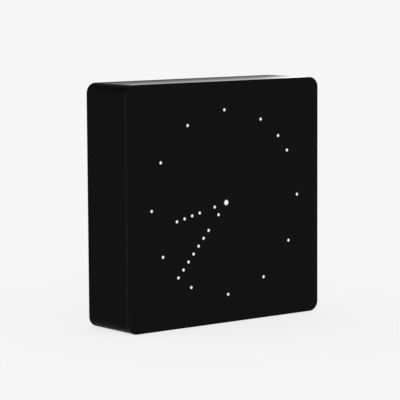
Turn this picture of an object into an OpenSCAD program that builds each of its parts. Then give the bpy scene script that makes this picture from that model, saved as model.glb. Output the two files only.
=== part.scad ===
// Square desk and wall clock whose hands and hour marks are dots of light.
// X runs to the right of the dial, Y from the dial to the back, Z up.
// The origin is the middle of the base that the clock stands on.

/* [Case] */
// Width and height of the square face
face_w = 200; // [180:1:260]
// Depth from the face to the back rim
case_d = 56; // [52:1:80]
// Radius of the four corners, seen from the front
corner_r = 8.5; // [7:0.5:20]
// Thickness of the case walls
case_wall = 4; // [3:0.5:6]
// Depth of the rim that stands behind the back cover
back_rim = 2; // [1.5:0.5:4]
// Radius of the rounded edge round the face and the back rim
edge_r = 0.8; // [0.4:0.1:1.2]

/* [Front panel] */
// Thickness of the front panel
panel_t = 3; // [2.5:0.5:5]
// Diameter of a lit dot
dot_d = 2.9; // [2:0.1:3.2]
// Diameter of the dot at the centre
centre_dot_d = 4.8; // [3:0.1:6]
// Radial gap round a light guide in the panel
guide_gap = 0.03; // [0.02:0.01:0.1]
// Thickness of a light guide's flange, behind the panel
flange_t = 1; // [0.6:0.1:2]
// How far a flange reaches past its guide
flange_reach = 0.7; // [0.4:0.1:1]
// Width of the lip that centres the panel in the case
lip_w = 2; // [1.2:0.1:2.5]

/* [Dial] */
// Radius of the innermost ring of dots
first_ring_r = 12.5; // [11:0.5:16]
// Distance between neighbouring rings of dots
ring_pitch = 8; // [7:0.1:8.5]
// Turn of the whole dot pattern on the face, anticlockwise
dot_turn = 1.2; // [-3:0.1:3]
// Minute position that the hour hand points to
hour_hand_minute = 43; // [0:1:59]
// Minute position that the minute hand points to
minute_hand_minute = 37; // [0:1:59]
// Position of the running second
second_minute = 8; // [0:1:59]

/* [Display stack] */
// Thickness of the light mask
mask_t = 3; // [2:0.5:5]
// Gap between the case walls and the plates inside
plate_gap = 0.3; // [0.2:0.1:1]
// Thickness of a light strip
strip_t = 1; // [0.6:0.1:1.5]
// Width of a light strip
strip_w = 1; // [0.6:0.1:1.1]
// Thickness of the circuit boards
board_t = 1.6; // [1:0.2:2.4]

/* [Back] */
// Thickness of the back cover
cover_t = 2; // [1.8:0.2:3]
// Side of the square pillars in the corners
pillar_w = 11; // [10:0.5:14]
// Shank diameter of the screws
screw_d = 2.8; // [2:0.1:3.5]
// Radial gap round a screw in its hole
screw_gap = 0.1; // [0.05:0.05:0.3]
// Depth of a screw hole in a pillar
screw_depth = 12; // [8:1:16]
// Diameter of a screw head
head_d = 5.6; // [4.6:0.1:6.4]
// Height of a screw head
head_h = 1.6; // [1.2:0.1:2]

/* [Wall hanger] */
// Diameter of the entry hole for the head of a wall screw
hook_d = 9; // [7:0.5:11]
// Width of the slot for the shank of a wall screw
hook_slot_w = 4.5; // [3:0.5:5.5]
// Length of the slot above the entry hole
hook_slot_l = 8; // [6:0.5:10]
// Thickness of the hanger plate
hanger_t = 1.2; // [0.8:0.2:1.4]
// Height of the entry hole below the top of the case
hook_drop = 34; // [30:1:50]

/* [Battery box] */
// Diameter of a battery cell
cell_d = 10.5; // [9.5:0.5:14.5]
// Length of a battery cell with its nub
cell_l = 44.5; // [40:0.5:50.5]
// Number of cells
cell_n = 3; // [2:1:4]
// Length of a contact, from the wall of the box to the cell
contact_l = 3; // [2:0.5:5]
// Wall thickness of the battery box
box_wall = 2; // [1.5:0.5:3]
// Distance of the middle of the battery box below the middle of the case
box_drop = 38; // [34:1:44]
// Width of the ledge that the battery door rests on
door_ledge = 1; // [0.8:0.1:1.4]
// Gap round the battery door
door_gap = 0.3; // [0.2:0.05:0.6]
// Radius of the hinge pins of the battery door
door_pin_r = 0.6; // [0.4:0.1:0.7]
// Radial gap round a hinge pin
door_pin_gap = 0.06; // [0.03:0.01:0.1]
// Length of a hinge pin in the cover
door_pin_l = 3; // [2:0.5:5]

/* [Buttons] */
// Distance between the four buttons: mode, set, up and down
button_pitch = 14; // [12:0.5:20]
// Diameter of a button
button_d = 7; // [5:0.5:9]
// Radial gap round a button in the cover
button_gap = 0.3; // [0.2:0.05:0.5]
// How far a button stands out of the cover
button_proud = 1; // [0.8:0.1:1.4]
// Radius of the rounded edge of a button
button_edge = 0.5; // [0.2:0.1:0.7]
// Travel of a button
button_travel = 0.8; // [0.4:0.1:1]
// Height of the row of buttons above the middle of the case
button_rise = 22; // [16:1:26]

/* [Control board] */
// Width of the control board
control_w = 84; // [76:1:100]
// Height of the control board
control_h = 36; // [34:1:44]
// Free space between the control board and the back cover
control_space = 9; // [8:0.5:14]

/* [Hidden] */
$fn = 48;

// Planes of the stack, counted from the face to the back
face_y = -case_d / 2;
panel_back_y = face_y + panel_t;
mask_y = panel_back_y + flange_t;
strip_y = mask_y + mask_t;
board_y = strip_y + strip_t;
board_back_y = board_y + board_t;
rim_y = case_d / 2;
cover_back_y = rim_y - back_rim;
cover_y = cover_back_y - cover_t;
control_back_y = cover_y - control_space;
control_y = control_back_y - board_t;

mid_z = face_w / 2;
box_z = mid_z - box_drop;
button_z = mid_z + button_rise;
inner_w = face_w - 2 * case_wall;
inner_r = max(corner_r - case_wall, 1);
plate_w = inner_w - 2 * plate_gap;
plate_r = max(inner_r - plate_gap, 0.8);
lip_in_w = plate_w - 2 * lip_w;
lip_in_r = max(plate_r - lip_w, 0.8);
pillar_at = inner_w / 2 - pillar_w / 2;
screw_r = screw_d / 2;
hole_r = screw_r + screw_gap;
// Room past the tip of a screw
screw_tip = 1;
// How far a cut runs past the surface that it opens
over = 1;

// Rings of dots: the second ring stays dark in both hands
ring_n = 9;
hour_rings = [0, 2, 3, 4, 5];
minute_rings = [0, 2, 3, 4, 5, 6, 7, 8];
marker_n = 12;
minute_n = 60;
outer_ring = ring_n - 1;
mask_hole_share = 0.86;

// Sizes of the battery box
cell_gap = 0.4;
box_in_w = cell_l + 2 * contact_l;
box_in_h = cell_n * (cell_d + cell_gap) + cell_gap;
box_in_d = cell_d + 2 * cell_gap;
door_open_w = box_in_w + 2 * door_ledge;
door_open_h = box_in_h + 2 * door_ledge;
door_inset = 0.1;
door_t = cover_t - 2 * door_inset;
door_y = cover_y + cover_t / 2;
door_z = box_z - door_open_h / 2 + door_gap + door_t / 2;
door_rib_n = 3;
door_rib_l = 20;
door_rib_w = 0.8;
door_rib_proud = 0.5;
door_rib_pitch = 2;
door_rib_in = 3;
contact_t = 0.5;
contact_w = 7;
nub_r = 1.9;
nub_l = 0.8;

// Sizes of the buttons and their switches
flange_h = 1.2;
button_lip = 1.2;
button_flange_r = button_d / 2 + button_lip;
plunger_r = 1.6;
plunger_gap = 0.2;
switch_w = 6.2;
switch_h = 4;
button_n = 4;
switch_rest = 0.3;
switch_floor = switch_h - switch_rest - button_travel - plunger_gap;

// Sizes of the pieces on the boards
chip_w = 12;
chip_h = 7.5;
chip_t = 1.7;
driver_at = 58;
controller_x = 4;
controller_rise = 3;
crystal_l = 10;
crystal_r = 1.6;
crystal_x = 24;
crystal_rise = 6;
backup_r = 8;
backup_t = 2;
backup_x = 10;
holder_wall = 1.2;
ribbon_w = 20;
ribbon_t = 0.9;
ribbon_socket_w = 26;
ribbon_socket_h = 6;
ribbon_socket_d = 8;
ribbon_seat = 5;
ribbon_x = -24;
socket_w = 9;
socket_h = 3.3;
socket_wall = 0.4;
socket_floor = 1;
socket_flat = 0.1;
socket_r = (socket_h - socket_flat) / 2;
socket_l = cover_back_y - control_back_y;
tongue_w = socket_w / 2;
tongue_h = 0.7;
tongue_short = 1;
socket_step = 12;
socket_x = button_pitch * (button_n - 1) / 2 + socket_step;
socket_gap = 0.3;
control_rise = 2;
control_z = button_z + control_rise;
control_screw_in = 4;
control_screw_x = control_w / 2 - control_screw_in;
control_screw_z = control_h / 2 - control_screw_in;
post_r = 3.2;
post_end = 2;
post_hole = control_space - post_end;

// Finger notch above the battery door
finger_r = 7;
finger_depth = 1.2;

// Sizes of the wall hanger
hanger_w = 46;
hanger_h = 30;
hanger_r = 4;
hanger_screw_in = 6;
hanger_screw_x = hanger_w / 2 - hanger_screw_in;
hanger_boss_h = 6;
hook_z = face_w - hook_drop;
hook_room = 3;
hanger_head_h = 0.6;

// Holds a flat outline upright, with its front at y0 and its thickness t towards the back
module upright(y0, t) {
    translate([0, y0 + t, 0]) rotate([90, 0, 0]) linear_extrude(t) children();
}

// A round bar along Y
module bar(r, y0, length) {
    translate([0, y0 + length, 0]) rotate([90, 0, 0]) cylinder(r = r, h = length);
}

// A square outline with round corners, about its middle
module round_square(w, h, r) {
    square([w - 2 * r, h], center = true);
    square([w, h - 2 * r], center = true);
    for (sx = [-1, 1], sz = [-1, 1])
        translate([sx * (w / 2 - r), sz * (h / 2 - r)]) circle(r = r);
}

// The cross-section of a plate's border, with one rounded edge at its bottom right
module border_section(width, t, edge) {
    translate([0, edge]) square([width, t - edge]);
    square([width - edge, t]);
    translate([width - edge, edge]) circle(r = edge);
}

// A square plate with round corners whose face edge is rounded; its face lies at z 0
module soft_plate(w, r, t, edge) {
    straight = w - 2 * r;
    translate([-straight / 2, -straight / 2, 0]) cube([straight, straight, t]);
    for (turn = [0:90:270]) rotate(turn) {
        translate([straight / 2, straight / 2, 0])
            rotate_extrude(angle = 90) border_section(r, t, edge);
        translate([straight / 2, straight / 2, 0]) rotate([90, 0, 0])
            linear_extrude(straight) border_section(r, t, edge);
    }
}

// Puts a piece at the four corner pillars
module at_pillars() {
    for (sx = [-1, 1], sz = [-1, 1]) translate([sx * pillar_at, 0, mid_z + sz * pillar_at]) children();
}

// Puts a piece at the two screws of the control board
module at_control_screws() {
    for (s = [-1, 1]) translate([s * control_screw_x, 0, control_z + s * control_screw_z]) children();
}

// Puts a piece at the two screws of the wall hanger
module at_hanger_screws() {
    for (s = [-1, 1]) translate([s * hanger_screw_x, 0, hook_z + hook_slot_l / 2]) children();
}

// Puts a piece at one button, counted from the left of the dial
module at_button(k) {
    translate([(k - (button_n - 1) / 2) * button_pitch, 0, button_z]) children();
}

// Puts a piece at every button
module at_buttons() {
    for (k = [0:button_n - 1]) at_button(k) children();
}

// Puts a piece at a minute position of the dial, on a given ring
module at_dot(minute, ring) {
    translate([0, 0, mid_z]) rotate([0, minute * 360 / minute_n - dot_turn, 0])
        translate([0, 0, first_ring_r + ring * ring_pitch]) children();
}

// A screw that points along +Y, with its head's underside at y 0
module screw(length, height = head_h) {
    bar(screw_r, 0, length);
    bar(head_d / 2, -height, height);
}

// One light guide: a clear pin that ends flush with the face, with a flange behind the panel
module light_guide(d) {
    bar(d / 2, face_y, panel_t);
    bar(d / 2 + flange_reach, panel_back_y, flange_t);
}

// Puts a piece at every lit dot but the one at the centre
module at_lit_dots() {
    for (k = [0:marker_n - 1]) at_dot(k * minute_n / marker_n, outer_ring) children();
    for (ring = hour_rings) at_dot(hour_hand_minute, ring) children();
    for (ring = minute_rings) at_dot(minute_hand_minute, ring) children();
    at_dot(second_minute, outer_ring) children();
}

module case_shell() {
    depth = rim_y - panel_back_y;
    color("#141416") difference() {
        union() {
            translate([0, rim_y, mid_z]) rotate([90, 0, 0]) difference() {
                soft_plate(face_w, corner_r, depth, edge_r);
                translate([0, 0, -over]) linear_extrude(depth + 2 * over)
                    round_square(inner_w, inner_w, inner_r);
            }
            at_pillars() translate([-pillar_w / 2, board_back_y, -pillar_w / 2])
                cube([pillar_w, cover_y - board_back_y, pillar_w]);
        }
        at_pillars() bar(hole_r, board_back_y - over, screw_depth + over);
        at_pillars() bar(hole_r, cover_y - screw_depth, screw_depth + over);
    }
}

module front_panel() {
    color("#0c0c0f") difference() {
        union() {
            translate([0, face_y, mid_z]) rotate([-90, 0, 0]) soft_plate(face_w, corner_r, panel_t, edge_r);
            translate([0, 0, mid_z]) upright(panel_back_y, flange_t) difference() {
                round_square(plate_w, plate_w, plate_r);
                round_square(lip_in_w, lip_in_w, lip_in_r);
            }
        }
        at_lit_dots() bar(dot_d / 2 + guide_gap, face_y - over, panel_t + 2 * over);
        translate([0, 0, mid_z]) bar(centre_dot_d / 2 + guide_gap, face_y - over, panel_t + 2 * over);
    }
}

module hour_marker_lights() {
    color("white") for (k = [0:marker_n - 1])
        at_dot(k * minute_n / marker_n, outer_ring) light_guide(dot_d);
}

module minute_hand_lights() {
    color("white") for (ring = minute_rings) at_dot(minute_hand_minute, ring) light_guide(dot_d);
}

module hour_hand_lights() {
    color("white") for (ring = hour_rings) at_dot(hour_hand_minute, ring) light_guide(dot_d);
}

module second_light() {
    color("white") at_dot(second_minute, outer_ring) light_guide(dot_d);
}

module centre_light() {
    color("white") translate([0, 0, mid_z]) light_guide(centre_dot_d);
}

// Holes of the mask: one for each minute on each ring, kept narrower than the pitch of the ring
module light_mask() {
    color("#1a1a1a") difference() {
        translate([0, 0, mid_z]) upright(mask_y, mask_t) round_square(plate_w, plate_w, plate_r);
        for (ring = [0:ring_n - 1], minute = [0:minute_n - 1]) {
            ring_r = first_ring_r + ring * ring_pitch;
            room = 2 * ring_r * sin(180 / minute_n) * mask_hole_share;
            at_dot(minute, ring) bar(min(dot_d, room) / 2, mask_y - over, mask_t + 2 * over);
        }
        translate([0, 0, mid_z]) bar(centre_dot_d / 2, mask_y - over, mask_t + 2 * over);
        at_pillars() bar(head_d / 2 + plate_gap, mask_y - over, mask_t + 2 * over);
    }
}

// One radial strip of light sources for each minute, and one round source at the centre
module light_strips() {
    strip_l = outer_ring * ring_pitch + 2 * strip_w;
    color("#e8dfa0") {
        for (minute = [0:minute_n - 1]) at_dot(minute, 0)
            translate([-strip_w / 2, strip_y, -strip_w]) cube([strip_w, strip_t, strip_l]);
        translate([0, 0, mid_z]) bar(centre_dot_d / 2, strip_y, strip_t);
    }
}

module display_board() {
    color("#1d5a33") difference() {
        translate([0, 0, mid_z]) upright(board_y, board_t) round_square(plate_w, plate_w, plate_r);
        at_pillars() bar(hole_r, board_y - over, board_t + 2 * over);
    }
}

module display_board_screws() {
    color("silver") at_pillars() translate([0, board_y, 0]) screw(board_t + screw_depth - screw_tip);
}

module driver_chips() {
    color("#222222") for (turn = [0:90:270]) translate([0, 0, mid_z]) rotate([0, turn + 45, 0])
        translate([-chip_w / 2, board_back_y, driver_at]) cube([chip_w, chip_t, chip_h]);
}

// The flat cable between the two boards, with its ends in the sockets
module ribbon_cable() {
    start = board_back_y + ribbon_socket_d - ribbon_seat;
    end = control_y - ribbon_socket_d + ribbon_seat;
    color("#b9bcc2") translate([ribbon_x - ribbon_w / 2, start, control_z - ribbon_t / 2])
        cube([ribbon_w, end - start, ribbon_t]);
}

// A socket that stands on a board at y 0, with its slot open towards the back
module ribbon_socket() {
    difference() {
        translate([-ribbon_socket_w / 2, 0, -ribbon_socket_h / 2])
            cube([ribbon_socket_w, ribbon_socket_d, ribbon_socket_h]);
        translate([-ribbon_w / 2, ribbon_socket_d - ribbon_seat, -ribbon_t / 2])
            cube([ribbon_w, ribbon_seat + over, ribbon_t]);
    }
}

module ribbon_sockets() {
    color("ivory") {
        translate([ribbon_x, board_back_y, control_z]) ribbon_socket();
        translate([ribbon_x, control_y, control_z]) mirror([0, 1, 0]) ribbon_socket();
    }
}

// The keyhole: a round entry with a slot above it for the shank of the wall screw
module keyhole() {
    circle(d = hook_d);
    translate([-hook_slot_w / 2, 0]) square([hook_slot_w, hook_slot_l]);
    translate([0, hook_slot_l]) circle(d = hook_slot_w);
}

module back_cover() {
    color("#1b1b1d") difference() {
        union() {
            translate([0, 0, mid_z]) upright(cover_y, cover_t) round_square(plate_w, plate_w, plate_r);
            at_control_screws() bar(post_r, control_back_y, control_space);
            at_hanger_screws() bar(post_r, cover_y - hanger_boss_h, hanger_boss_h);
        }
        at_pillars() bar(hole_r, cover_y - over, cover_t + 2 * over);
        at_control_screws() bar(hole_r, control_back_y - over, post_hole + over);
        at_buttons() bar(button_d / 2 + button_gap, cover_y - over, cover_t + 2 * over);
        translate([0, 0, box_z]) upright(cover_y - over, cover_t + 2 * over)
            square([door_open_w, door_open_h], center = true);
        for (s = [-1, 1]) translate([s * door_open_w / 2, door_y, door_z]) rotate([0, 90, 0])
            cylinder(r = door_pin_r + door_pin_gap, h = 2 * door_pin_l, center = true);
        translate([0, 0, box_z + door_open_h / 2])
            bar(finger_r, cover_back_y - finger_depth, finger_depth + over);
        translate([socket_x, 0, button_z]) upright(cover_y - over, cover_t + 2 * over)
            round_square(socket_w + 2 * socket_gap, socket_h + 2 * socket_gap, socket_r + socket_gap);
        translate([0, 0, hook_z]) upright(cover_y - over, cover_t + 2 * over)
            translate([0, hook_slot_l / 2])
                square([hook_d + 2 * hook_room, hook_d + hook_slot_l + hook_room], center = true);
        at_hanger_screws() bar(hole_r, cover_y - hanger_boss_h - over, hanger_boss_h + cover_t + 2 * over);
    }
}

module back_cover_screws() {
    color("silver") at_pillars() translate([0, cover_back_y, 0]) mirror([0, 1, 0])
        screw(cover_t + screw_depth - screw_tip);
}

module hanger_plate() {
    color("silver") difference() {
        translate([0, 0, hook_z]) upright(cover_back_y, hanger_t) difference() {
            translate([0, hook_slot_l / 2]) round_square(hanger_w, hanger_h, hanger_r);
            keyhole();
        }
        at_hanger_screws() bar(hole_r, cover_back_y - over, hanger_t + 2 * over);
    }
}

module hanger_screws() {
    color("silver") at_hanger_screws() translate([0, cover_back_y + hanger_t, 0]) mirror([0, 1, 0])
        screw(hanger_t + cover_t + hanger_boss_h - screw_tip, hanger_head_h);
}

module battery_box() {
    color("#202022") translate([0, 0, box_z]) difference() {
        translate([0, cover_y - box_in_d - box_wall, 0]) upright(0, box_in_d + box_wall)
            square([box_in_w + 2 * box_wall, box_in_h + 2 * box_wall], center = true);
        translate([0, cover_y - box_in_d, 0]) upright(0, box_in_d + over)
            square([box_in_w, box_in_h], center = true);
    }
}

// The door turns on a full-round lower edge, between two pins, and has grip ribs at its top
module battery_door() {
    w = door_open_w - 2 * door_gap;
    h = door_open_h - 2 * door_gap - door_t / 2;
    pin_l = w + 2 * door_pin_l;
    color("#1b1b1d") translate([0, door_y, door_z]) {
        translate([-w / 2, -door_t / 2, 0]) cube([w, door_t, h]);
        for (k = [0:door_rib_n - 1]) translate([-door_rib_l / 2, 0, h - door_rib_in - k * door_rib_pitch])
            cube([door_rib_l, door_t / 2 + door_rib_proud, door_rib_w]);
        rotate([0, 90, 0]) cylinder(r = door_t / 2, h = w, center = true);
        rotate([0, 90, 0]) cylinder(r = door_pin_r, h = pin_l, center = true);
    }
}

// Puts a piece at every battery cell, every second one turned round
module at_cells() {
    for (k = [0:cell_n - 1]) translate([0, cover_y - box_in_d + cell_gap + cell_d / 2,
        box_z - box_in_h / 2 + cell_gap + cell_d / 2 + k * (cell_d + cell_gap)])
        mirror([k % 2, 0, 0]) children();
}

module battery_cells() {
    color("#7d8590") at_cells() {
        translate([-cell_l / 2, 0, 0]) rotate([0, 90, 0]) cylinder(d = cell_d, h = cell_l - nub_l);
        translate([cell_l / 2 - nub_l, 0, 0]) rotate([0, 90, 0]) cylinder(r = nub_r, h = nub_l);
    }
}

module battery_contacts() {
    color("gold") at_cells() for (s = [-1, 1]) {
        translate([s * (box_in_w - contact_t) / 2, 0, 0])
            cube([contact_t, contact_w, contact_w], center = true);
        translate([s * (cell_l + contact_l) / 2, 0, 0]) rotate([0, 90, 0])
            cylinder(r = nub_r, h = contact_l, center = true);
    }
}

module control_board() {
    color("#1d5a33") difference() {
        translate([0, 0, control_z]) upright(control_y, board_t)
            square([control_w, control_h], center = true);
        at_control_screws() bar(hole_r, control_y - over, board_t + 2 * over);
    }
}

module control_board_screws() {
    color("silver") at_control_screws() translate([0, control_y, 0]) screw(board_t + post_hole - screw_tip);
}

module controller_chip() {
    color("#222222") translate([controller_x, control_y - chip_t, control_z + controller_rise])
        cube([chip_w, chip_t, chip_w]);
}

module clock_crystal() {
    color("silver") translate([crystal_x, control_y - crystal_r, control_z + crystal_rise])
        rotate([0, 90, 0]) cylinder(r = crystal_r, h = crystal_l, center = true);
}

// Puts a piece at the backup cell on the control board
module at_backup_cell() {
    translate([backup_x, 0, control_z - backup_r]) children();
}

module backup_cell() {
    color("silver") at_backup_cell() bar(backup_r, control_y - backup_t, backup_t);
}

module backup_cell_holder() {
    color("#222222") at_backup_cell() difference() {
        bar(backup_r + guide_gap + holder_wall, control_y - backup_t, backup_t);
        bar(backup_r + guide_gap, control_y - backup_t - over, backup_t + 2 * over);
    }
}

module button_switches() {
    color("#d8d8d8") at_buttons() difference() {
        translate([-switch_w / 2, control_back_y, -switch_w / 2]) cube([switch_w, switch_h, switch_w]);
        bar(plunger_r + plunger_gap, control_back_y + switch_floor, switch_h);
    }
}

// A button: its cap in the cover, a flange behind it, and the plunger that enters the switch
module button(k) {
    flange_y = cover_y - flange_h;
    plunger_y = control_back_y + switch_h - switch_rest;
    color("#2c2c30") at_button(k) {
        translate([0, cover_back_y + button_proud, 0]) rotate([90, 0, 0]) rotate_extrude()
            border_section(button_d / 2, button_proud + cover_t + flange_h, button_edge);
        bar(button_flange_r, flange_y, flange_h);
        bar(plunger_r, plunger_y, flange_y - plunger_y);
    }
}

module power_socket() {
    color("silver") translate([socket_x, 0, button_z]) {
        difference() {
            upright(control_back_y, socket_l) round_square(socket_w, socket_h, socket_r);
            upright(control_back_y + socket_floor, socket_l)
                round_square(socket_w - 2 * socket_wall, socket_h - 2 * socket_wall, socket_r - socket_wall);
        }
        translate([-tongue_w / 2, control_back_y + socket_floor, -tongue_h / 2])
            cube([tongue_w, socket_l - socket_floor - tongue_short, tongue_h]);
    }
}

case_shell();
front_panel();
hour_marker_lights();
minute_hand_lights();
hour_hand_lights();
second_light();
centre_light();
light_mask();
light_strips();
display_board();
display_board_screws();
driver_chips();
ribbon_cable();
ribbon_sockets();
back_cover();
back_cover_screws();
hanger_plate();
hanger_screws();
battery_box();
battery_door();
battery_cells();
battery_contacts();
control_board();
control_board_screws();
controller_chip();
clock_crystal();
backup_cell();
backup_cell_holder();
button_switches();
power_socket();
button(0);  // mode_button
button(1);  // set_button
button(2);  // up_button
button(3);  // down_button
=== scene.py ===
import bmesh
import bpy
from math import radians
from mathutils import Matrix, Vector


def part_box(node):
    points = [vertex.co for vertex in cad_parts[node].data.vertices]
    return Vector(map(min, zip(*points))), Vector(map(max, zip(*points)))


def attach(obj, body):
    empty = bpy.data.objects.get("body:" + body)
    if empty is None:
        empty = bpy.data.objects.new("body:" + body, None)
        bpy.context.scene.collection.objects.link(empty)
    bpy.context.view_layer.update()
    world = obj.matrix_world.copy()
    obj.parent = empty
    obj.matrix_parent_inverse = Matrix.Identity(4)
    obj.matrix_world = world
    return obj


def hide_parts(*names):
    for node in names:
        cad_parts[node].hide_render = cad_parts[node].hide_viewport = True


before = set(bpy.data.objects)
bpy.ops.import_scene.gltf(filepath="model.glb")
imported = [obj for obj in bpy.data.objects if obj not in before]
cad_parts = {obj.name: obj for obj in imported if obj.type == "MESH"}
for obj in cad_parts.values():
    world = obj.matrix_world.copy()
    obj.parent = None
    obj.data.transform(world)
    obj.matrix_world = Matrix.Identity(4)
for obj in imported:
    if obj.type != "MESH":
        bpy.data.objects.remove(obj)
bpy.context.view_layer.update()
print("frame loaded with", len(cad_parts), "nodes")


class Wire:  # one socket, so that shader sums read as plain sums
    def __init__(self, tree, socket):
        self.tree = tree
        self.socket = socket

    def work(self, operation, first, second):
        node = self.tree.nodes.new("ShaderNodeMath")
        node.operation = operation
        for place, value in enumerate((first, second)):
            if isinstance(value, Wire):
                self.tree.links.new(value.socket, node.inputs[place])
            else:
                node.inputs[place].default_value = value
        return Wire(self.tree, node.outputs[0])

    def __add__(self, other):
        return self.work("ADD", self, other)

    def __radd__(self, other):
        return self.work("ADD", other, self)

    def __sub__(self, other):
        return self.work("SUBTRACT", self, other)

    def __rsub__(self, other):
        return self.work("SUBTRACT", other, self)

    def __mul__(self, other):
        return self.work("MULTIPLY", self, other)

    def __rmul__(self, other):
        return self.work("MULTIPLY", other, self)

    def rounded(self):
        return self.work("ROUND", self, 0)


class Finish:  # one material or world, with a single way to add any node
    def __init__(self, owner):
        owner.use_nodes = True
        self.owner = owner
        self.tree = owner.node_tree

    def find(self, sockets, key):  # by identifier or by name
        return next(socket for socket in sockets if key in (socket.identifier, socket.name))

    def put(self, node, sockets):
        for key, value in sockets.items():
            socket = self.find(node.inputs, key)
            if isinstance(value, Wire):
                self.tree.links.new(value.socket, socket)
            else:
                socket.default_value = value

    def node(self, kind, settings, sockets, output):
        node = self.tree.nodes.new(kind)
        for key, value in settings.items():
            setattr(node, key, value)
        self.put(node, sockets)
        return Wire(self.tree, self.find(node.outputs, output))

    def place(self, stretch=(1, 1, 1), shift=(0, 0, 0)):  # stretched where a grain runs one way
        coords = self.node("ShaderNodeTexCoord", {}, {}, "Object")
        sockets = {"Vector": coords, "Scale": stretch, "Location": shift}
        return self.node("ShaderNodeMapping", {}, sockets, "Vector")

    def along(self, axis, coords):
        return self.node("ShaderNodeSeparateXYZ", {}, {"Vector": coords}, axis)

    def span(self, value, low, high, first, last, soft="SMOOTHSTEP"):  # first below low, last above high
        sockets = {"Value": value, "From Min": low, "From Max": high, "To Min": first, "To Max": last}
        return self.node("ShaderNodeMapRange", {"interpolation_type": soft}, sockets, "Result")

    def length(self, coords):
        return self.node("ShaderNodeVectorMath", {"operation": "LENGTH"}, {"Vector": coords}, "Value")

    def noise(self, scale, detail=3, stretch=(1, 1, 1), rough=0.55):
        sockets = {"Vector": self.place(stretch), "Scale": scale, "Detail": detail, "Roughness": rough}
        return self.node("ShaderNodeTexNoise", {}, sockets, "Fac")

    def blend(self, factor, first, second):
        sockets = {"Factor_Float": factor, "A_Color": first, "B_Color": second}
        return self.node("ShaderNodeMix", {"data_type": "RGBA"}, sockets, "Result_Color")

    def bump(self, height, depth, strength=1.0):
        sockets = {"Height": height, "Distance": depth, "Strength": strength}
        return self.node("ShaderNodeBump", {}, sockets, "Normal")

    def shade(self, sockets):
        self.put(self.tree.nodes["Principled BSDF"], sockets)
        return self.owner


def finish(name):
    return Finish(bpy.data.materials.new(name))


def grey(value, tint=(1, 1, 1)):
    return (value * tint[0], value * tint[1], value * tint[2], 1)


def dress(material, *nodes):
    for node in nodes:
        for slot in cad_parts[node].material_slots:
            slot.material = material


def newObject(name, shape):
    item = bpy.data.objects.new(name, bpy.data.meshes.new(name))
    shape.to_mesh(item.data)
    shape.free()
    bpy.context.scene.collection.objects.link(item)
    return item


# camera, where the photograph was taken from
viewPoint = {
    "place": (-1.0451, -1.3356, 0.2863),
    "right": (0.78876, -0.61467, -0.00569),
    "up": (0.07166, 0.08275, 0.99399),
    "forward": (0.61051, 0.78443, -0.10931),
    "lens": 184.20, "sensor": 36, "clipNear": 0.02, "clipFar": 200,
}
lensData = bpy.data.cameras.new("photoCamera")
lensData.lens = viewPoint["lens"]
lensData.sensor_width = viewPoint["sensor"]
lensData.clip_start = viewPoint["clipNear"]
lensData.clip_end = viewPoint["clipFar"]
camera = bpy.data.objects.new("photoCamera", lensData)
turn = Matrix((viewPoint["right"], viewPoint["up"], -Vector(viewPoint["forward"]))).transposed()
camera.matrix_world = Matrix.Translation(viewPoint["place"]) @ turn.to_4x4()
bpy.context.scene.collection.objects.link(camera)
bpy.context.scene.camera = camera
bpy.context.scene.view_settings.view_transform = "Standard"
print("camera placed")


# plain studio: even pale surroundings, a pale floor and one soft lamp beside the camera
studio = {
    "pale": 0.922,
    "ceilingLow": 0.16, "ceilingHigh": 0.5, "ceilingDim": 0.8,
    "cardWay": (0.785, 0.613, 0.087), "cardRim": 0.9757, "cardCore": 0.9791, "cardGain": 1.6,
    "floorSide": 60, "floorBody": 0.2, "floorRough": 0.9,
    "lampPlace": (-1.25, -1.75, 0.75), "lampAim": (0, 0, 0.1), "lampSide": 0.55, "lampPower": 7.0,
}
world = bpy.data.worlds.new("paleRoom")
bpy.context.scene.world = world
room = Finish(world)
heading = room.node("ShaderNodeTexCoord", {}, {}, "Generated")
mirrored = room.node("ShaderNodeLightPath", {}, {}, "Is Glossy Ray")
# seen only in gloss: a dim ceiling, and a bright round card at the back right
skyward = room.along("Z", heading)
ceiling = room.span(skyward, studio["ceilingLow"], studio["ceilingHigh"], 0.0, studio["ceilingDim"])
toCard = {"Vector": heading, "Vector_001": studio["cardWay"]}
cardward = room.node("ShaderNodeVectorMath", {"operation": "DOT_PRODUCT"}, toCard, "Value")
card = room.span(cardward, studio["cardRim"], studio["cardCore"], 0.0, studio["cardGain"])
strength = 1 + mirrored * (card - ceiling)
room.put(room.tree.nodes["Background"], {"Color": grey(studio["pale"]), "Strength": strength})

shape = bmesh.new()
bmesh.ops.create_grid(shape, x_segments=1, y_segments=1, size=studio["floorSide"] / 2)
floor = newObject("floor", shape)
# the floor glows enough to meet the room's colour, and its body keeps the shadow
floor.data.materials.append(finish("paleFloor").shade({
    "Base Color": grey(studio["floorBody"]),
    "Roughness": studio["floorRough"],
    "Specular IOR Level": 0.0,
    "Emission Color": grey(studio["pale"] * (1 - studio["floorBody"])),
    "Emission Strength": 1.0,
}))

lampData = bpy.data.lights.new("softLamp", "AREA")
lampData.size = studio["lampSide"]
lampData.energy = studio["lampPower"]
lamp = bpy.data.objects.new("softLamp", lampData)
lamp.location = studio["lampPlace"]
lamp.rotation_euler = (Vector(studio["lampAim"]) - lamp.location).to_track_quat("-Z", "Y").to_euler()
bpy.context.scene.collection.objects.link(lamp)
print("studio lit")


# black lacquer of the case: near-black body, faint orange peel, satin gloss
caseLook = {
    "dark": 0.0023, "light": 0.0031, "cloudScale": 60, "cloudDetail": 4, "gloss": 0.013,
    "peelScale": 420, "peelDetail": 2, "peelDepth": 0.000004,
    "left": -0.07, "right": 0.09, "roughLeft": 0.10, "roughRight": 0.02,
    "front": -0.026, "back": 0.027, "roughBack": 0.42, "roughSpan": 0.04,
}


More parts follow.
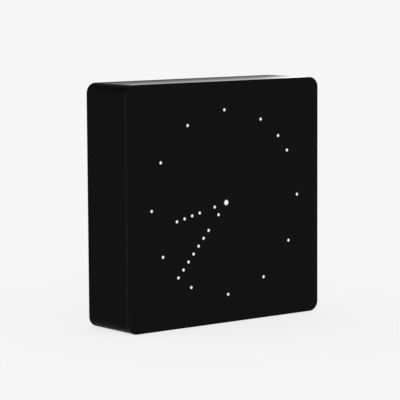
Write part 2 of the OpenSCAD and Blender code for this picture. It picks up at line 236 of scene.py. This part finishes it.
def lacquered(name, look):
    coat = finish(name)
    cloud = coat.noise(look["cloudScale"], look["cloudDetail"])
    peel = coat.noise(look["peelScale"], look["peelDetail"])
    spot = coat.place()
    rearward = coat.span(coat.along("Y", spot), look["front"], look["back"], 0.0, 1.0, "LINEAR")
    across = coat.along("X", spot)
    polish = coat.span(across, look["left"], look["right"], look["roughLeft"], look["roughRight"], "LINEAR")
    dull = polish * (1 - rearward) + rearward * look["roughBack"]  # duller towards the back
    return coat.shade({
        "Base Color": coat.blend(cloud, grey(look["dark"]), grey(look["light"])),
        "Roughness": cloud * look["roughSpan"] + dull,
        "Specular IOR Level": look["gloss"],
        "Normal": coat.bump(peel, look["peelDepth"]),
    })


dress(lacquered("caseLacquer", caseLook), "case_shell")

# dark face that the lights shine through: a little bluer and paler than the case
faceLook = {
    "dark": 0.0034, "light": 0.0043, "tint": (0.97, 0.98, 1.12), "hazeScale": 35, "gloss": 0.028,
    "grainScale": 900, "grainDetail": 2, "grainDepth": 0.000002, "rough": 0.26, "roughSpan": 0.06,
}


def satin(name, look):
    pane = finish(name)
    haze = pane.noise(look["hazeScale"])
    grain = pane.noise(look["grainScale"], look["grainDetail"])
    return pane.shade({
        "Base Color": pane.blend(haze, grey(look["dark"], look["tint"]), grey(look["light"], look["tint"])),
        "Roughness": grain * look["roughSpan"] + look["rough"],
        "Specular IOR Level": look["gloss"],
        "Normal": pane.bump(grain, look["grainDepth"]),
    })


dress(satin("faceSatin", faceLook), "front_panel")

# lit dots: clear guides that glow white in the middle and fall off to their rim
dotLook = {
    "middle": 0.1, "firstRing": 0.0125, "ringPitch": 0.008, "turn": 1.2,
    "body": 0.03, "rim": 0.1, "rough": 0.2, "roughSpan": 0.1, "gloss": 0.1,
    "core": 0.0006, "edge": 0.00145, "centreCore": 0.0014, "centreEdge": 0.0024,
}
dotRays = {  # bearing of each ray of dots, and the step to the next one
    "hourMarkGlow": {"bearing": 0, "step": 30, "node": "hour_marker_lights"},
    "minuteHandGlow": {"bearing": 222, "step": 360, "node": "minute_hand_lights"},
    "hourHandGlow": {"bearing": 258, "step": 360, "node": "hour_hand_lights"},
    "secondGlow": {"bearing": 48, "step": 360, "node": "second_light"},
}


def glowing(guide, reach, core, edge):
    glow = guide.span(reach, core, edge, 1.0, dotLook["rim"])
    return guide.shade({
        "Base Color": grey(dotLook["body"]),
        "Roughness": glow * dotLook["roughSpan"] + dotLook["rough"],
        "Specular IOR Level": dotLook["gloss"],
        "Emission Color": guide.blend(glow, grey(0.0), grey(1.0)),
        "Emission Strength": 1.0,
    })


def dialPlace(guide):
    return guide.place((1, 0, 1), (0, 0, -dotLook["middle"]))


def rayGlow(name, ray):  # falls off from the nearest dot of the ring and ray
    guide, step = finish(name), radians(ray["step"])
    spread = dialPlace(guide)
    reach, across = guide.length(spread), guide.along("X", spread)
    angle = across.work("ARCTAN2", across, guide.along("Z", spread))
    ring = (reach - dotLook["firstRing"]) * (1 / dotLook["ringPitch"])
    turns = (angle - radians(ray["bearing"] - dotLook["turn"])) * (1 / step)
    offRing = (ring - ring.rounded()) * dotLook["ringPitch"]
    offRay = (turns - turns.rounded()) * step * reach
    offDot = guide.length(guide.node("ShaderNodeCombineXYZ", {}, {"X": offRing, "Y": offRay}, "Vector"))
    return glowing(guide, offDot, dotLook["core"], dotLook["edge"])


for name, ray in dotRays.items():
    dress(rayGlow(name, ray), ray["node"])
centre = finish("centreGlow")
centreReach = centre.length(dialPlace(centre))
dress(glowing(centre, centreReach, dotLook["centreCore"], dotLook["centreEdge"]), "centre_light")
print("case and face finished")


# moulded plastic: spark-eroded grain with its high points painted paler (painted highlight on the grain),
# over a random patchy tone
mouldLook = {
    "grainScale": 1500, "paintedPeakShare": 0.6, "grainBump": 0.6,
    "patchScale": 90, "patchDetail": 4, "roughSpan": 0.15, "gloss": 0.25,
}
mouldKinds = {
    "coverMould": {"dark": 0.004, "light": 0.017, "rough": 0.55, "depth": 0.00003},
    "buttonSatin": {"dark": 0.016, "light": 0.024, "rough": 0.35, "depth": 0.000006},
    "chipMould": {"dark": 0.008, "light": 0.014, "rough": 0.5, "depth": 0.00002},
    "maskMould": {"dark": 0.004, "light": 0.008, "rough": 0.7, "depth": 0.00002},
    "ivoryNylon": {"dark": 0.62, "light": 0.70, "rough": 0.4, "depth": 0.00001},
}


def moulded(name):
    look, kind, skin = mouldLook, mouldKinds[name], finish(name)
    sockets = {"Vector": skin.place(), "Scale": look["grainScale"]}
    bead = skin.node("ShaderNodeTexVoronoi", {"feature": "SMOOTH_F1"}, sockets, "Distance")
    patch = skin.noise(look["patchScale"], look["patchDetail"])
    # painted highlight: the grain's high points are painted paler, mixed with a random patchy tone
    paler = bead * look["paintedPeakShare"] + patch * (1 - look["paintedPeakShare"])
    return skin.shade({
        "Base Color": skin.blend(paler, grey(kind["dark"]), grey(kind["light"])),
        "Roughness": patch * look["roughSpan"] + kind["rough"],
        "Specular IOR Level": look["gloss"],
        "Normal": skin.bump(bead, kind["depth"], look["grainBump"]),
    })


dress(moulded("coverMould"), "back_cover", "battery_box", "battery_door")
dress(moulded("buttonSatin"), "mode_button", "set_button", "up_button", "down_button")
dress(moulded("chipMould"), "driver_chips", "controller_chip", "backup_cell_holder")
dress(moulded("maskMould"), "light_mask")
dress(moulded("ivoryNylon"), "ribbon_sockets", "button_switches")

# plated metal: fine scratches, one way on the hanger plate, and clouded plating
platingLook = {
    "dark": 0.40, "light": 0.62, "scratchScale": 260, "scratchDetail": 4, "scratchShare": 0.5,
    "cloudScale": 120, "depth": 0.000006, "rough": 0.26, "roughSpan": 0.22,
}
platingKinds = {
    "zincPlate": {"tint": (1.0, 0.995, 0.97), "stretch": (1, 1, 30)},
    "screwZinc": {"tint": (0.96, 0.97, 1.0), "stretch": (1, 1, 1)},
    "contactBrass": {"tint": (1.25, 0.98, 0.45), "stretch": (1, 1, 1)},
}


def plated(name):
    look, kind, metal = platingLook, platingKinds[name], finish(name)
    dark, light = grey(look["dark"], kind["tint"]), grey(look["light"], kind["tint"])
    scratch = metal.noise(look["scratchScale"], look["scratchDetail"], kind["stretch"])
    cloud = metal.noise(look["cloudScale"])
    paler = scratch * look["scratchShare"] + cloud * (1 - look["scratchShare"])
    return metal.shade({
        "Base Color": metal.blend(paler, dark, light),
        "Metallic": 1.0,
        "Roughness": scratch * look["roughSpan"] + look["rough"],
        "Normal": metal.bump(scratch, look["depth"]),
    })


screwZinc = plated("screwZinc")
contactBrass = plated("contactBrass")
dress(plated("zincPlate"), "hanger_plate")
dress(screwZinc, "display_board_screws", "control_board_screws")
dress(screwZinc, "clock_crystal", "backup_cell", "power_socket")

# circuit boards: green mask, paler over the copper
boardLook = {
    "deep": (0.006, 0.045, 0.016, 1), "copper": (0.014, 0.085, 0.032, 1),
    "traceScale": 240, "traceGap": 0.03, "traceShare": 0.7, "traceDepth": 0.00002,
    "patchScale": 70, "rough": 0.3, "roughSpan": 0.1,
}


def masked(name, look):
    board = finish(name)
    sockets = {"Vector": board.place(), "Scale": look["traceScale"], "Mortar Size": look["traceGap"]}
    trace = board.node("ShaderNodeTexBrick", {}, sockets, "Fac")
    deeper = trace * look["traceShare"] + board.noise(look["patchScale"]) * (1 - look["traceShare"])
    return board.shade({
        "Base Color": board.blend(deeper, look["copper"], look["deep"]),
        "Roughness": trace * look["roughSpan"] + look["rough"],
        "Normal": board.bump(trace, look["traceDepth"]),
    })


dress(masked("boardMask", boardLook), "display_board", "control_board")

# light strips: specked phosphor
stripLook = {
    "dim": (0.66, 0.56, 0.18, 1), "bright": (0.78, 0.70, 0.32, 1),
    "speckScale": 1800, "speckDetail": 2, "rough": 0.5, "roughSpan": 0.2,
}


def specked(name, look):
    phosphor = finish(name)
    speck = phosphor.noise(look["speckScale"], look["speckDetail"])
    return phosphor.shade({
        "Base Color": phosphor.blend(speck, look["dim"], look["bright"]),
        "Roughness": speck * look["roughSpan"] + look["rough"],
    })


dress(specked("phosphorStrip", stripLook), "light_strips")

# flat cable: paler and higher over each core
cableLook = {
    "gap": 0.16, "core": 0.30, "tint": (0.97, 0.98, 1.05),
    "coreScale": 390.0, "coreDepth": 0.0002, "rough": 0.45, "roughSpan": 0.1,
}


def ribbed(name, look):
    cable = finish(name)
    sockets = {"Vector": cable.place(), "Scale": look["coreScale"]}
    core = cable.node("ShaderNodeTexWave", {"bands_direction": "X"}, sockets, "Fac")
    return cable.shade({
        "Base Color": cable.blend(core, grey(look["gap"]), grey(look["core"], look["tint"])),
        "Roughness": core * look["roughSpan"] + look["rough"],
        "Normal": cable.bump(core, look["coreDepth"]),
    })


dress(ribbed("flatCable", cableLook), "ribbon_cable")

# cells: dark sleeve with a paler band, bare steel at both ends
cellLook = {
    "dark": (0.022, 0.026, 0.036, 1), "band": (0.16, 0.17, 0.18, 1), "steel": (0.55, 0.55, 0.54, 1),
    "bare": 0.0208, "bareEdge": 0.0001, "bandFrom": 0.010, "bandTo": 0.0106,
    "smearScale": 220, "smearDetail": 4, "smearStretch": (1, 12, 12),
    "metal": 0.2, "metalSpan": 0.8, "rough": 0.26, "roughSpan": 0.15,
}


def sleeved(name, look):
    sleeve = finish(name)
    smear = sleeve.noise(look["smearScale"], look["smearDetail"], look["smearStretch"])
    endward = sleeve.length(sleeve.place((1, 0, 0)))
    bareEnd = sleeve.span(endward, look["bare"], look["bare"] + look["bareEdge"], 0.0, 1.0)
    band = sleeve.span(endward, look["bandFrom"], look["bandTo"], 0.0, 1.0)
    return sleeve.shade({
        "Base Color": sleeve.blend(bareEnd, sleeve.blend(band, look["dark"], look["band"]), look["steel"]),
        "Metallic": bareEnd * look["metalSpan"] + look["metal"],
        "Roughness": smear * look["roughSpan"] + look["rough"],
    })


dress(sleeved("cellSleeve", cellLook), "battery_cells")
print("back and inner pieces finished")


def setPiece(name, shape, material, node):  # a piece of the case, in the place of a plain solid
    piece = newObject(name, shape)
    piece.data.materials.append(material)
    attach(piece, "case")
    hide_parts(node)
    return piece


# screws on the back: domed heads with a cross recess, in the places of the plain ones
screwLook = {
    "headRadius": 0.0028, "shankRadius": 0.0014, "steps": 40, "mergeGap": 1e-6,
    # from the middle of the head to its seat, as shares of its radius and height
    "dome": ((0, 1), (0.45, 0.96), (0.75, 0.8), (0.93, 0.5625), (1, 0.45), (1, 0)),
    "slotWidth": 0.0007, "slotLength": 0.0032, "slotShare": 0.55,
    "cover": {"head": 0.0016, "rows": 2}, "hanger": {"head": 0.0006, "rows": 1},
    "turn": 31, "turnAcross": 9, "turnUp": 14,
}


def plainScrew(headHeight, shankLength):
    look, shape = screwLook, bmesh.new()
    points = [(look["headRadius"] * across, headHeight * rise) for across, rise in look["dome"]]
    points += [(look["shankRadius"], 0), (look["shankRadius"], -shankLength), (0, -shankLength)]
    verts = [shape.verts.new((across, rise, 0)) for across, rise in points]
    edges = [shape.edges.new(pair) for pair in zip(verts, verts[1:])]
    bmesh.ops.spin(
        shape, geom=verts + edges, cent=(0, 0, 0), axis=(0, 1, 0),
        angle=radians(360), steps=look["steps"], use_merge=True,
    )
    bmesh.ops.remove_doubles(shape, verts=shape.verts, dist=look["mergeGap"])
    bmesh.ops.recalc_face_normals(shape, faces=shape.faces)
    return shape


def crossBars(headHeight):
    look, shape = screwLook, bmesh.new()
    size = Matrix.Diagonal((look["slotLength"], headHeight * look["slotShare"] * 2, look["slotWidth"], 1))
    for angle in (0, 90):
        bar = bmesh.ops.create_cube(shape, size=1)["verts"]
        spot = Matrix.Translation((0, headHeight, 0)) @ Matrix.Rotation(radians(angle), 4, "Y")
        bmesh.ops.transform(shape, verts=bar, matrix=spot @ size)
    return shape


def crossScrew(name, headHeight, shankLength):
    head = newObject(name, plainScrew(headHeight, shankLength))
    cutter = newObject(name + "Cutter", crossBars(headHeight))
    recess = head.modifiers.new("recess", "BOOLEAN")
    recess.operation = "DIFFERENCE"
    recess.solver = "EXACT"
    recess.use_self = True
    recess.object = cutter
    bpy.context.view_layer.update()
    cut = bpy.data.meshes.new_from_object(head.evaluated_get(bpy.context.evaluated_depsgraph_get()))
    for item in (head, cutter):
        bpy.data.objects.remove(item)
    return cut


def setScrews(name, node, kind):
    look, shape, headHeight = screwLook, bmesh.new(), kind["head"]
    low, high = (Vector(corner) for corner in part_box(node))
    radius, top = look["headRadius"], high.y - headHeight
    pattern = crossScrew(name, headHeight, top - low.y)
    rises = [low.z + radius, high.z - radius] if kind["rows"] == 2 else [(low.z + high.z) / 2]
    for across in (low.x + radius, high.x - radius):
        for rise in rises:
            count = len(shape.verts)
            shape.from_mesh(pattern)
            shape.verts.ensure_lookup_table()
            # no two heads stop at the same angle
            angle = radians(look["turn"]) + across * look["turnAcross"] + rise * look["turnUp"]
            spot = Matrix.Translation((across, top, rise)) @ Matrix.Rotation(angle, 4, "Y")
            bmesh.ops.transform(shape, verts=shape.verts[count:], matrix=spot)
    return setPiece(name, shape, screwZinc, node)


coverScrews = setScrews("coverScrews", "back_cover_screws", screwLook["cover"])
hangerScrews = setScrews("hangerScrews", "hanger_screws", screwLook["hanger"])
print("screws set")


# battery contacts: a spring at each flat end, a dimpled plate at each nub
contactLook = {
    "rows": 3, "rowPitch": 0.0109, "mergeGap": 1e-7,
    "plateSide": 0.0068, "plateThick": 0.0005, "plateCorner": 0.0009, "cornerSteps": 4,
    "wire": 0.00028, "wireSides": 8, "wideTurn": 0.0025, "turns": 3.5, "turnSteps": 28,
    "dimple": 0.0018, "dimpleSides": 24, "dimpleRings": 12,
}


def addPlate(shape, middle, outer, facing):
    look = contactLook
    plate = bmesh.ops.create_cube(shape, size=1)["verts"]
    size = Matrix.Diagonal((look["plateThick"], look["plateSide"], look["plateSide"], 1))
    spot = Matrix.Translation((outer + facing * look["plateThick"] / 2, middle.y, middle.z))
    bmesh.ops.transform(shape, verts=plate, matrix=spot @ size)
    edges = dict.fromkeys(edge for vert in plate for edge in vert.link_edges)  # each once, in order
    bends = [edge for edge in edges if abs(edge.verts[0].co.x - edge.verts[1].co.x) > look["plateThick"] / 2]
    bmesh.ops.bevel(
        shape, geom=bends, offset=look["plateCorner"], affect="EDGES",
        segments=look["cornerSteps"], profile=0.5, material=-1,
    )


def addSpring(shape, middle, outer, tip):
    look = contactLook
    start = Matrix.Translation((outer, middle.y, middle.z + look["wideTurn"]))
    upright = Matrix.Rotation(radians(90), 4, "X")  # across the wire's run
    sides, radius = look["wireSides"], look["wire"]
    ring = bmesh.ops.create_circle(shape, cap_ends=True, segments=sides, radius=radius)["verts"]
    bmesh.ops.transform(shape, verts=ring, matrix=start @ upright)
    linked = (item for vert in ring for item in (vert, *vert.link_edges, *vert.link_faces))
    geom = list(dict.fromkeys(linked))
    steps = int(look["turns"] * look["turnSteps"])
    bmesh.ops.spin(
        shape, geom=geom, cent=(outer, middle.y, middle.z), axis=(1, 0, 0),
        dvec=((tip - outer) / steps, 0, 0), angle=radians(360 * look["turns"]), steps=steps,
    )


def addDimple(shape, middle, outer, tip):
    look = contactLook
    sides, rings, radius = look["dimpleSides"], look["dimpleRings"], look["dimple"]
    cap = bmesh.ops.create_uvsphere(shape, u_segments=sides, v_segments=rings, radius=radius)["verts"]
    flat = Matrix.Diagonal((abs(tip - outer) / radius, 1, 1, 1))
    bmesh.ops.transform(shape, verts=cap, matrix=Matrix.Translation((outer, middle.y, middle.z)) @ flat)


def setContacts(name, node):
    look, shape = contactLook, bmesh.new()
    wallLow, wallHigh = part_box(node)
    cellLow, cellHigh = (Vector(corner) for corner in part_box("battery_cells"))
    middle = (cellLow + cellHigh) / 2
    ends = [(wallLow[0], cellLow.x, 1), (wallHigh[0], cellHigh.x, -1)]
    for row in range(look["rows"]):
        spot = middle + Vector((0, 0, (row - (look["rows"] - 1) / 2) * look["rowPitch"]))
        for outer, tip, facing in ends:
            addPlate(shape, spot, outer, facing)
        flatEnd, nubEnd = ends if row % 2 == 0 else ends[::-1]
        outer, tip, facing = flatEnd
        coilFoot = outer + facing * (look["plateThick"] + look["wire"])
        addSpring(shape, spot, coilFoot, tip - facing * look["wire"])
        outer, tip, facing = nubEnd
        addDimple(shape, spot, outer + facing * look["plateThick"], tip)
    bmesh.ops.remove_doubles(shape, verts=shape.verts, dist=look["mergeGap"])
    bmesh.ops.recalc_face_normals(shape, faces=shape.faces)
    return setPiece(name, shape, contactBrass, node)


batteryContacts = setContacts("batteryContacts", "battery_contacts")
print("battery contacts set")
